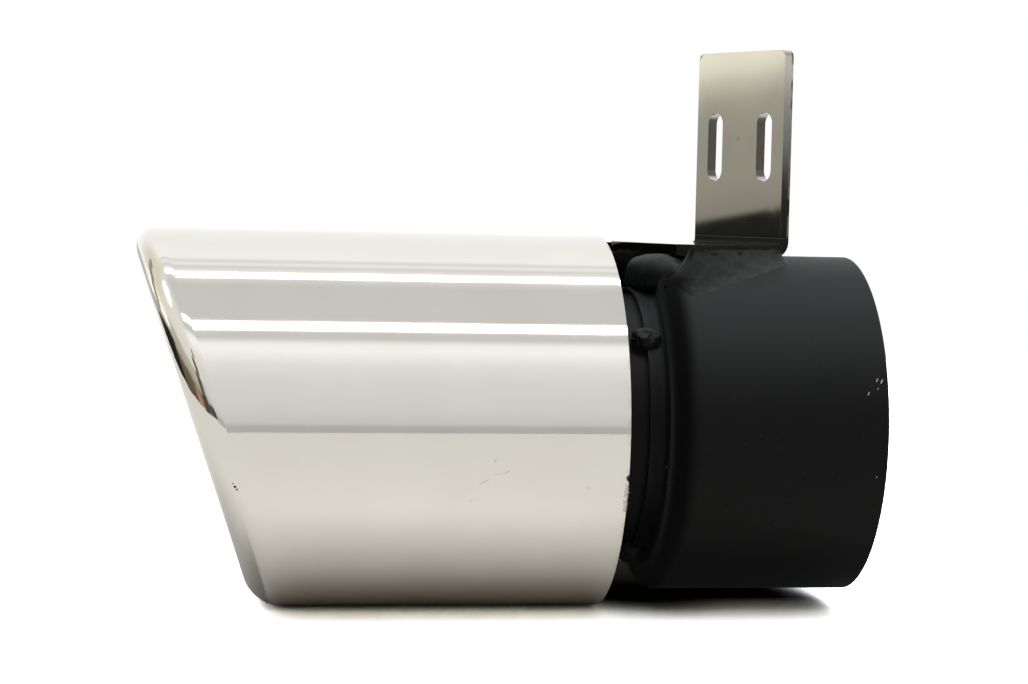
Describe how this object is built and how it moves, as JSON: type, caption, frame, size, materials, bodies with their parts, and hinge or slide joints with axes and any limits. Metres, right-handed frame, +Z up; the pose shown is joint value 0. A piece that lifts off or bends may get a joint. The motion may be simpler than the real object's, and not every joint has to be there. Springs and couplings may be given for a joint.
{
  "type": "exhaust tip",
  "caption": "Round slash-cut exhaust tip with a polished rolled-lip shell, a black slip-on can behind it and an upright slotted bracket to hang it",
  "frame": {"origin": "centre of the can's open rear mouth, on the tube axis", "axes": "+X along the tube axis, out of the rear mouth; the slash-cut rim points to -X; +Z up along the bracket"},
  "size_m": [0.1923, 0.1, 0.1512],
  "materials": {
    "polished_steel": "mirror-polished stainless steel",
    "black_paint": "matt black heat-proof paint",
    "bare_steel": "bare satin stainless sheet",
    "painted_weld": "weld under matt black paint"
  },
  "bodies": {
    "root": {"tip_shell": "polished_steel", "inner_liner": "black_paint", "rear_can": "black_paint", "bracket": "bare_steel", "neck_tacks": "painted_weld", "bracket_welds": "painted_weld"}
  },
  "joints": []
}
